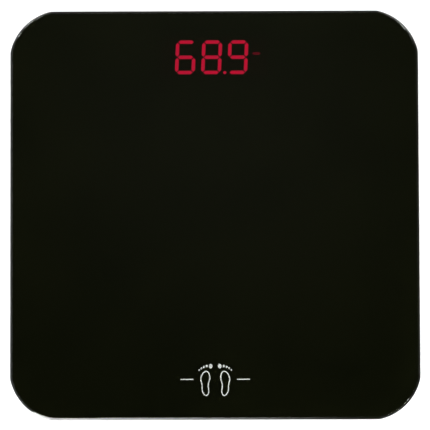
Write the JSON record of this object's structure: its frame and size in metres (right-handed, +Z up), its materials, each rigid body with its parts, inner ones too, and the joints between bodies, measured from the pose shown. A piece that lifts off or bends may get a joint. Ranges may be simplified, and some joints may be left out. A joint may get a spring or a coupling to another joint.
{
  "type": "digital bathroom scale",
  "caption": "Square glass digital bathroom scale on load-cell feet, with a lit display and a battery housing under its far edge.",
  "frame": {"origin": "on the floor under the middle of the platform, at the foot pads' lower faces", "axes": "+Z up through the platform, +Y towards the display edge, +X to the reader's right"},
  "size_m": [0.3, 0.3, 0.0235],
  "materials": {
    "tempered_glass": "polished",
    "black_print": "gloss",
    "smoked_filter": "gloss",
    "housing_plastic": "matte",
    "foot_plastic": "satin",
    "foot_rubber": "matte",
    "cell_steel": "satin",
    "gauge_coating": "matte",
    "lead_sheath": "satin",
    "clip_plastic": "satin",
    "screw_steel": "satin",
    "battery_wrap": "satin",
    "contact_nickel": "satin",
    "wire_red": "satin",
    "wire_black": "satin",
    "board_resin": "satin",
    "reflector_plastic": "matte",
    "diffuser_film": "satin",
    "chip_epoxy": "satin",
    "capacitor_resin": "satin",
    "switch_plastic": "satin",
    "button_plastic": "satin"
  },
  "bodies": {
    "platform": {"glass_platform": "tempered_glass", "back_print": "black_print", "display_filter": "smoked_filter", "pod_housing_front_left": "housing_plastic", "pod_ring_front_left": "housing_plastic", "load_cell_front_left": "cell_steel", "strain_gauge_front_left": "gauge_coating", "pod_housing_front_right": "housing_plastic", "pod_ring_front_right": "housing_plastic", "load_cell_front_right": "cell_steel", "strain_gauge_front_right": "gauge_coating", "pod_housing_back_left": "housing_plastic", "pod_ring_back_left": "housing_plastic", "load_cell_back_left": "cell_steel", "strain_gauge_back_left": "gauge_coating", "pod_housing_back_right": "housing_plastic", "pod_ring_back_right": "housing_plastic", "load_cell_back_right": "cell_steel", "strain_gauge_back_right": "gauge_coating", "sensor_lead_front_left": "lead_sheath", "sensor_lead_front_right": "lead_sheath", "sensor_lead_back_left": "lead_sheath", "sensor_lead_back_right": "lead_sheath", "lead_clip_left": "clip_plastic", "lead_clip_right": "clip_plastic", "housing_frame": "housing_plastic", "housing_cover": "housing_plastic", "cover_screw_1": "screw_steel", "cover_screw_2": "screw_steel", "cover_screw_3": "screw_steel", "cover_screw_4": "screw_steel", "battery_1": "battery_wrap", "battery_2": "battery_wrap", "battery_3": "battery_wrap", "contact_positive": "contact_nickel", "contact_link_right": "contact_nickel", "contact_link_left": "contact_nickel", "contact_negative": "contact_nickel", "battery_wire_red": "wire_red", "battery_wire_black": "wire_black", "main_board": "board_resin", "led_reflector": "reflector_plastic", "led_diffuser": "diffuser_film", "controller_chip": "chip_epoxy", "crystal": "screw_steel", "buffer_capacitor": "capacitor_resin", "switch_body": "switch_plastic"},
    "foot_front_left": {"foot_cap_front_left": "foot_plastic", "foot_pad_front_left": "foot_rubber"},
    "foot_front_right": {"foot_cap_front_right": "foot_plastic", "foot_pad_front_right": "foot_rubber"},
    "foot_back_left": {"foot_cap_back_left": "foot_plastic", "foot_pad_back_left": "foot_rubber"},
    "foot_back_right": {"foot_cap_back_right": "foot_plastic", "foot_pad_back_right": "foot_rubber"},
    "battery_door": {"battery_door": "housing_plastic"},
    "unit_button": {"unit_button": "button_plastic", "switch_plunger": "switch_plastic"}
  },
  "joints": [
    {"name": "foot_press_front_left", "type": "slide", "parent": "platform", "child": "foot_front_left", "axis": [0, 0, 1], "range_m": [0, 0.0006], "stiffness_N_per_m": 2000, "springref_m": -0.0025, "deforming": ["load_cell_front_left"]},
    {"name": "foot_press_front_right", "type": "slide", "parent": "platform", "child": "foot_front_right", "axis": [0, 0, 1], "range_m": [0, 0.0006], "stiffness_N_per_m": 2000, "springref_m": -0.0025, "deforming": ["load_cell_front_right"]},
    {"name": "foot_press_back_left", "type": "slide", "parent": "platform", "child": "foot_back_left", "axis": [0, 0, 1], "range_m": [0, 0.0006], "stiffness_N_per_m": 2000, "springref_m": -0.0025, "deforming": ["load_cell_back_left"]},
    {"name": "foot_press_back_right", "type": "slide", "parent": "platform", "child": "foot_back_right", "axis": [0, 0, 1], "range_m": [0, 0.0006], "stiffness_N_per_m": 2000, "springref_m": -0.0025, "deforming": ["load_cell_back_right"]},
    {"name": "battery_door_hinge", "type": "hinge", "parent": "platform", "child": "battery_door", "pos_m": [0, 0.0945, 0.003], "axis": [1, 0, 0], "range_deg": [0, 70]},
    {"name": "unit_button_press", "type": "slide", "parent": "platform", "child": "unit_button", "axis": [0, 0, 1], "range_m": [0, 0.0004], "stiffness_N_per_m": 500, "springref_m": -0.0004}
  ]
}
